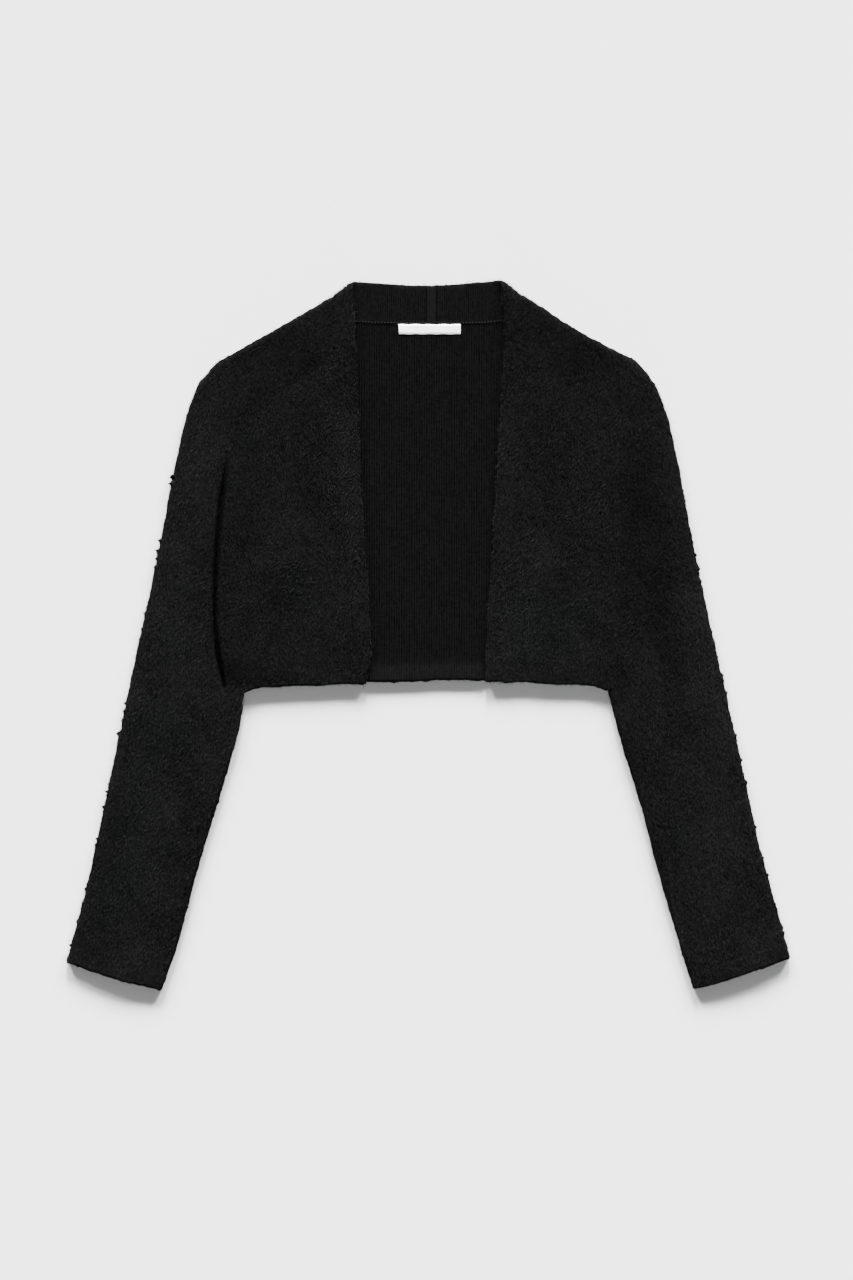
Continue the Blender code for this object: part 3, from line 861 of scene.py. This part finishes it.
def plain_material(name, colours, pitch, course):
    """The plain inner side: fine upright wales, each a column of small stitches."""
    material, graph, shader = surface_material(name, Roughness=0.95, Specular_IOR_Level=0.001)
    grain = graph.painted("grain", "Vector")
    across, along, _ = graph.parts(grain)
    phase = across / pitch
    wale = graph.math("COSINE", phase * (2 * pi)) * 0.5 + 0.5
    off_middle = abs(graph.math("FRACT", phase + 100.5) - 0.5)
    stitch = graph.math("COSINE", (along / course + off_middle * 0.9) * (2 * pi)) * 0.5 + 0.5
    uneven = graph.noise(graph.joined(across * 3, along * 0.4), 0.006, 2)
    hem = graph.ramp(HEM_TOP - graph.painted("hem"), 0.0, 0.004)
    cell = graph.joined(graph.math("FLOOR", phase), graph.math("FLOOR", along / course))
    odd = graph.node("ShaderNodeTexWhiteNoise", {"noise_dimensions": "2D"}, {"Vector": cell})["Value"]
    streaks = graph.ramp(graph.noise(graph.joined(across, along * 0.12), 0.0030, 1), 0.35, 0.65)
    join_off = abs(across - JOIN_X)
    strip = 1 - graph.ramp(join_off, JOIN_HALF - 0.0006, JOIN_HALF + 0.0002)
    line = 1 - graph.ramp(abs(join_off - JOIN_HALF - 0.0006), 0.0, 0.0010)
    at_neck = 1 - graph.ramp(along, -0.3128, -0.3120)
    light = (wale - 0.5) * (0.14 + streaks * 0.66) + stitch * wale * 0.2 + uneven * 0.22
    light = light + odd * 0.42 + graph.noise(grain, 0.05) * 0.05 + 0.12
    # The painted light kept on the points lightens the back beside the bands' edges
    light = (light + hem * 0.15 + (strip * 0.45 - line * 0.5) * at_neck) * graph.painted("tone_and_painted_light")
    colour = graph.mixed(light, tuple(colours.inner_shade), tuple(colours.inner_light))
    height = wale * 0.5 + stitch * wale * 0.5 + uneven * 0.4
    connect(graph, shader, colour, graph.bumped(height, 0.00012, 0.8))
    return material


def strand_material(colours):
    """The nap's fibres, each a little lighter or darker than the next."""
    material, graph, shader = surface_material("nap_fibre", Roughness=0.8, Specular_IOR_Level=0.004)
    shade = graph.painted("shade")
    # The strands take the painted light and shade kept on the points too
    light = (shade * shade * 0.9 + pile_patches(graph) * 0.1) * graph.painted("tone_and_painted_light")
    connect(graph, shader, graph.mixed(light, tuple(colours.fibre_shade), tuple(colours.fibre_light)))
    return material


def tape_material(tape):
    """White woven tape, a little dull where it is worn."""
    material, graph, shader = surface_material("label_tape", Roughness=0.55, Sheen_Weight=0.2)
    place = graph.node("ShaderNodeTexCoord")["Object"]
    x, y, _ = graph.parts(place)
    weft = graph.math("SINE", y * (2 * pi / 0.00045)) * 0.5 + 0.5
    warp = graph.math("SINE", x * (2 * pi / 0.0006)) * 0.5 + 0.5
    dull = tuple(0.86 * level for level in tape[:3]) + (1,)
    colour = graph.mixed(graph.noise(place, 0.008, 2) * 0.6 + weft * 0.25, dull, tape)
    connect(graph, shader, colour, graph.bumped(weft * 0.6 + warp * 0.4, 0.0001, 0.6))
    return material


def tape_form(low, high):
    """The label in its solid's box: a thin tape with soft waves, whose edges are thinner and bend down."""
    shape = bmesh.new()
    columns, rows = 84, 14
    width, height = high.x - low.x - 0.0008, high.y - low.y - 0.0013
    grid = {}
    for side, i, j in product((0, 1), range(columns + 1), range(rows + 1)):
        u, v = i / columns, j / rows
        edge = 0.00018 * sin(9 * u * pi) * (1 if j in (0, rows) else 0)
        wave = 0.00022 * sin(3.1 * pi * u + 0.6) * sin(pi * v) + 0.00008 * sin(11 * u + 5 * v)
        lean = 0.0007 * (1 - v) * (1 - u) ** 4
        x, y = low.x + 0.0004 + width * u + lean, low.y + 0.0006 + height * v + edge
        spot = Vector((x, y, low.z + wave))
        inward = min(1, v / 0.1, (1 - v) / 0.1)
        spot.z += LABEL_WALL * side * (0.4 + 0.6 * inward) - 0.00028 * (1 - inward)
        grid[side, i, j] = shape.verts.new(spot)
    for i, j, side in product(range(columns), range(rows), (0, 1)):
        ring = [grid[side, i, j], grid[side, i + 1, j], grid[side, i + 1, j + 1], grid[side, i, j + 1]]
        shape.faces.new(ring if side else ring[::-1])
    for i, j in product(range(columns), (0, rows)):
        shape.faces.new([grid[0, i, j], grid[0, i + 1, j], grid[1, i + 1, j], grid[1, i, j]])
    for j, i in product(range(rows), (0, columns)):
        shape.faces.new([grid[0, i, j], grid[0, i, j + 1], grid[1, i, j + 1], grid[1, i, j]])
    bmesh.ops.recalc_face_normals(shape, faces=shape.faces)
    mesh = mesh_of("neck_label", shape)
    mesh.shade_smooth()
    return mesh


def outer_surface(panels):
    """One mesh of every panel's outer side, for the nap to lie on."""
    joined = bmesh.new()
    for panel in panels:
        joined.from_mesh(panel.data)
    outer = joined.verts.layers.float["outer"]
    hidden = [face for face in joined.faces if sum(vertex[outer] for vertex in face.verts) < 1.5]
    bmesh.ops.delete(joined, geom=hidden, context="FACES")
    return add_object("outer_surface", mesh_of("outer_surface", joined))


def size_property(name, description, default):
    return FloatProperty(name=name, description=description, default=default, unit="LENGTH")


def angle_property(name, description, degrees):
    return FloatProperty(name=name, description=description, default=radians(degrees), subtype="ANGLE")


def plain_property(name, description, default):
    return FloatProperty(name=name, description=description, default=default)


def colour_property(name, description, level):
    look = {"subtype": "COLOR", "size": 4, "default": grey(level), "min": 0, "max": 1}
    return FloatVectorProperty(name=name, description=description, **look)


class KnitSettings(bpy.types.PropertyGroup):
    """Sizes of the knit and of the shells' meshes."""

    wale_pitch: size_property("Wale pitch", "Width of a wale inside the back", 0.0025)
    band_pitch: size_property("Band wale pitch", "Width of a wale inside the neckband", 0.0022)
    wale_height: size_property("Wale height", "Rise of a wale over its grooves, halved", 0.00008)
    course: size_property("Course", "Height of one stitch", 0.0019)
    cell: size_property("Cell", "Size of the mesh's cells on the upper side", 0.0020)
    under_cell: size_property("Hidden cell", "Size of the mesh's cells out of sight", 0.0080)
    pile: size_property("Pile", "Depth of the brushed tufts", 0.00005)
    hem_groove: size_property("Hem groove", "Depth of the hem's stitched line", 0.00012)
    edge_fray: size_property("Edge fray", "How uneven the open edges are", 0.0032)
    fold_fray: size_property("Fold fray", "How uneven the sleeves' folded edges are", 0.0016)


class NapSettings(bpy.types.PropertyGroup):
    """Sizes of the brushed nap."""

    spacing: size_property("Spacing", "Least distance between two strands", 0.0016)
    density: plain_property("Density", "The most strands on a square metre", 245000.0)
    length: size_property("Length", "Usual length of a strand", 0.0036)
    width: size_property("Width", "Thickness of a strand at its root", 0.00032)
    lift: size_property("Lift", "How high a strand arches off the cloth", 0.0006)
    stand: plain_property("Stand", "How far the loosest tips stand up, over the lift", 1.2)
    curl: plain_property("Curl", "How far a tip wanders, over the length", 0.5)
    hair: size_property("Hair", "Thickness of an edge's hair at its root", 0.00025)
    seed: IntProperty(name="Seed", description="Changes where the strands fall", default=7)


class SeamSettings(bpy.types.PropertyGroup):
    """Sizes of the neck seam's stitches."""

    pitch: size_property("Pitch", "Distance between two stitches", 0.0031)
    lean: angle_property("Lean", "How far a stitch leans off the seam", 48)
    length: size_property("Length", "Length of a stitch", 0.0025)
    width: size_property("Width", "Thickness of a stitch", 0.0011)


class ColourSettings(bpy.types.PropertyGroup):
    """Colours of the yarns and of the label."""

    pile_shade: colour_property("Pile shade", "Darkest of the brushed side", 0.0007)
    pile_light: colour_property("Pile light", "Lightest of the brushed side", 0.0061)
    inner_shade: colour_property("Inner shade", "Darkest of the plain side", 0.0009)
    inner_light: colour_property("Inner light", "Lightest of the plain side", 0.0036)
    fibre_shade: colour_property("Fibre shade", "Darkest strand of the nap", 0.0015)
    fibre_light: colour_property("Fibre light", "Lightest strand of the nap", 0.0138)
    linking: colour_property("Linking", "The neck seam's yarn", 0.0066)
    tape: colour_property("Tape", "The label's white tape", 0.90)


class StageSettings(bpy.types.PropertyGroup):
    """The table, the light and the camera."""

    floor_colour: colour_property("Table", "The table's pale grey", 0.74)
    sky: plain_property("Soft light", "Strength of the light from all round", 0.225)
    key: plain_property("Key light", "Strength of the light from beyond the neck", 65.1)
    key_height: angle_property("Key height", "Angle of the key light over the table", 14)
    key_size: angle_property("Key size", "Angle that each of the three key lights fills", 13)
    key_spread: angle_property("Key spread", "Angle between two of the key lights", 26)
    fill: plain_property("Fill light", "Strength of the light from beyond the cuffs", 7.5)
    fill_height: angle_property("Fill height", "Angle of the fill light over the table", 4)
    fill_size: angle_property("Fill size", "Angle that the fill light fills", 8)
    picture_height: size_property("Picture height", "Length of table that fills the picture's height", 1.280)
    cloth_height: size_property("Cloth height", "Height over the table at which that length is taken", 0.006)
    lens: plain_property("Lens", "Focal length in millimetres", 85)


def add_sun(name, strength, size, height, turn):
    """A sun at that height over the table, turned from straight beyond the neck."""
    lamp = bpy.data.lights.new(name, "SUN")
    lamp.energy, lamp.angle = strength, size
    add_object(name, lamp).rotation_euler = (-(pi / 2 - height), 0, turn)


def ride_as(piece):
    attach(piece, "root")


class CARDIGAN_OT_panels(bpy.types.Operator):
    """Dress each panel's solid with a shell of brushed or plain knit"""

    bl_idname = "cardigan.panels"
    bl_label = "Knit Panels"

    def execute(self, context):
        scene = context.scene
        knit, colours = scene.cardigan_knit, scene.cardigan_colours
        brushed = brushed_material(colours)
        plain = plain_material("plain_knit", colours, knit.wale_pitch, knit.course)
        plain_band = plain_material("plain_band_knit", colours, knit.band_pitch, knit.course)
        solids = every_solid()
        for node, panel in PANELS.items():
            sleeve = node.startswith("sleeve")
            inputs = {
                "Pile": knit.pile,
                "Stretch": 0.5 if sleeve else 0.8,
                "Bunches": panel.get("bunches", 0.0),
                "Growth": panel.get("growth", 0.0),
                "Frayed": knit.fold_fray if sleeve else knit.edge_fray,
                "Wale height": knit.wale_height,
                "Wale pitch": knit.band_pitch if node.startswith("band") else knit.wale_pitch,
                "Hem groove": knit.hem_groove,
                "Material": brushed,
            }
            mesh = run_tree("knit_" + node, panel_mesh(node, solids, knit), raise_surface, inputs)
            mesh.materials.clear()
            mesh.materials.append(brushed)
            mesh.materials.append(plain if node == "back" else plain_band)
            corners = np.empty(len(mesh.loops), np.int32)
            mesh.loops.foreach_get("vertex_index", corners)
            outer = kept_on(mesh, "outer")[corners].reshape(-1, 3).mean(axis=1)
            mesh.polygons.foreach_set("material_index", (outer < 0.5).astype(np.int32))
            shell = add_object("knit_" + node, mesh)
            ride_as(shell)
            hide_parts(node)
        return {"FINISHED"}


class CARDIGAN_OT_nap(bpy.types.Operator):
    """Grow the brushed nap over the outer side of every panel, and short hairs along its edges"""

    bl_idname = "cardigan.nap"
    bl_label = "Brushed Nap"

    def execute(self, context):
        nap = context.scene.cardigan_nap
        material = strand_material(context.scene.cardigan_colours)
        shells = {node: bpy.data.objects["knit_" + node] for node in PANELS}
        surface = outer_surface(shells.values())
        for count, (node, shell) in enumerate(shells.items()):
            source, edge = shell.data.copy(), shell.data.copy()
            upright = values_of(source, "normal")[:, 2]
            outer, air, crease_shade = (kept_on(source, name) for name in ("outer", "air", "crease_shade"))
            thin = np.where(upright < -0.5, 0.05, 1.0)
            # Fewer strands in the deep crease, so that its painted shade stays dark
            store(source, "nap", outer * air * thin * (1 - 0.9 * crease_shade))
            inputs = {
                "Spacing": nap.spacing,
                "Density": nap.density,
                "Length": nap.length,
                "Width": nap.width,
                "Lift": nap.lift,
                "Stand": nap.stand,
                "Curl": nap.curl,
                "Heading": radians(PANELS[node]["lean"] - 90),
                "Swing": 0.5 if node.startswith("sleeve") else 2.0,
                "Surface": surface,
                "Seed": nap.seed + count,
                "Material": material,
            }
            mesh = run_tree("nap_" + node, source, grow_nap, inputs)
            ride_as(add_object("nap_" + node, mesh))
            store(edge, "rim", np.clip(1.4 - 1.8 * np.abs(upright), 0, 1) * kept_on(edge, "bare"))
            inputs = {
                **(BAND_FUZZ if node.startswith("band") else OTHER_FUZZ),
                "Width": nap.hair,
                "Seed": nap.seed + 20 + count,
                "Material": material,
            }
            mesh = run_tree("fuzz_" + node, edge, grow_fuzz, inputs)
            ride_as(add_object("fuzz_" + node, mesh))
        bpy.data.objects.remove(surface)
        return {"FINISHED"}


class CARDIGAN_OT_neck(bpy.types.Operator):
    """Link the neckband to the back with a row of stitches"""

    bl_idname = "cardigan.neck"
    bl_label = "Neck Seam"

    def execute(self, context):
        seam = context.scene.cardigan_seam
        half_neck, lowest = 0.082, 0.305
        points = values_of(frame["nodes"]["back"].data)
        points = points[(np.abs(points[:, 0]) < half_neck) & (points[:, 2] > 0.9 * WALL)]
        points = points[points[:, 2] < 1.1 * WALL]
        columns = sorted({round(x, 4) for x in points[:, 0].tolist()})
        tops = [(x, points[np.abs(points[:, 0] - x) < 2e-4, 1].max()) for x in columns]
        places = [(x, y + 0.4 * SEAM, WALL + 0.0003) for x, y in tops if y > lowest]
        line = bpy.data.meshes.new("neck_line")
        line.from_pydata(places, [(i, i + 1) for i in range(len(places) - 1)], [])
        material, _, shader = surface_material("linking_yarn", Roughness=0.9, Specular_IOR_Level=0.01)
        shader.inputs["Base Color"].default_value = tuple(context.scene.cardigan_colours.linking)
        inputs = {
            "Pitch": seam.pitch,
            "Lean": seam.lean,
            "Stitch length": seam.length,
            "Stitch width": seam.width,
            "Material": material,
        }
        mesh = run_tree("neck_stitches", line, sew_row, inputs)
        ride_as(add_object("neck_stitches", mesh))
        return {"FINISHED"}


class CARDIGAN_OT_label(bpy.types.Operator):
    """Lay the bare woven label under the neck seam"""

    bl_idname = "cardigan.label"
    bl_label = "Neck Label"

    def execute(self, context):
        mesh = tape_form(*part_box("label"))
        mesh.materials.append(tape_material(tuple(context.scene.cardigan_colours.tape)))
        label = add_object("neck_label", mesh)
        ride_as(label)
        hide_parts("label")
        return {"FINISHED"}


class CARDIGAN_OT_declare(bpy.types.Operator):
    """Look up each sheet of cloth, what it was cut to, what it lies on, its area and what goes with it, and
    keep none of it
    """

    bl_idname = "cardigan.declare"
    bl_label = "Cut Sizes"

    def execute(self, context):
        things = bpy.data.objects
        for node, panel in PANELS.items():
            trim = [things["nap_" + node], things["fuzz_" + node]]
            if node == "back":
                trim.append(things["neck_stitches"])
            things["knit_" + node]
            panel["cut"]
            panel["on"]
            cloth_area(node)
        things["neck_label"]
        return {"FINISHED"}


class CARDIGAN_OT_stage(bpy.types.Operator):
    """Set the table, the soft light and the camera over it"""

    bl_idname = "cardigan.stage"
    bl_label = "Table, Light and Camera"

    def execute(self, context):
        scene, stage = context.scene, context.scene.cardigan_stage
        material, _, shader = surface_material("table", Roughness=0.9, Specular_IOR_Level=0.2)
        shader.inputs["Base Color"].default_value = tuple(stage.floor_colour)
        mesh = bpy.data.meshes.new("floor")
        reach, below = 40.0, -0.0001
        corners = [(-reach, -reach, 0), (reach, -reach, 0), (reach, reach, 0), (-reach, reach, 0)]
        mesh.from_pydata(corners, [], [(0, 1, 2, 3)])
        mesh.materials.append(material)
        table = add_object("floor", mesh)
        table.location.z = below
        for count, share in ((-1, 0.25), (0, 0.5), (1, 0.25)):
            turn = count * stage.key_spread
            add_sun(f"key_{count + 2}", stage.key * share, stage.key_size, stage.key_height, turn)
        add_sun("fill", stage.fill, stage.fill_size, stage.fill_height, pi)
        world = bpy.data.worlds.new("soft_light")
        world.use_nodes = True
        background = world.node_tree.nodes["Background"]
        background.inputs["Color"].default_value = (1, 1, 1, 1)
        background.inputs["Strength"].default_value = stage.sky
        scene.world = world
        view = bpy.data.cameras.new("camera")
        view.lens = stage.lens
        half = atan(view.sensor_width / 2 / view.lens)
        above = stage.picture_height / 2 * cos(half) / sin(half) + stage.cloth_height
        scene.camera = add_object("camera", view)
        scene.camera.location = (-0.0015, -0.005, above)
        return {"FINISHED"}


class CARDIGAN_PT_main(bpy.types.Panel):
    """Lists the sizes, the colours and what can be made"""

    bl_label = "Cardigan"
    bl_space_type = "VIEW_3D"
    bl_region_type = "UI"
    bl_category = "Cardigan"

    def draw(self, context):
        for settings in SETTINGS:
            box = self.layout.box()
            group = getattr(context.scene, settings)
            for name in group.__annotations__:
                box.prop(group, name)
        for operator in OPERATORS:
            self.layout.operator(operator.bl_idname)


SETTINGS = {
    "cardigan_knit": KnitSettings,
    "cardigan_nap": NapSettings,
    "cardigan_seam": SeamSettings,
    "cardigan_colours": ColourSettings,
    "cardigan_stage": StageSettings,
}
OPERATORS = (
    CARDIGAN_OT_panels,
    CARDIGAN_OT_nap,
    CARDIGAN_OT_neck,
    CARDIGAN_OT_label,
    CARDIGAN_OT_declare,
    CARDIGAN_OT_stage,
)


def register():
    for group in (*SETTINGS.values(), *OPERATORS, CARDIGAN_PT_main):
        bpy.utils.register_class(group)
    for name, group in SETTINGS.items():
        setattr(bpy.types.Scene, name, PointerProperty(type=group))


def unregister():
    for name in SETTINGS:
        delattr(bpy.types.Scene, name)
    for group in (CARDIGAN_PT_main, *reversed(OPERATORS), *SETTINGS.values()):
        bpy.utils.unregister_class(group)


def main():
    register()
    bpy.ops.cardigan.panels()
    bpy.ops.cardigan.nap()
    bpy.ops.cardigan.neck()
    bpy.ops.cardigan.label()
    bpy.ops.cardigan.declare()
    bpy.ops.cardigan.stage()


if __name__ == "__main__":
    main()
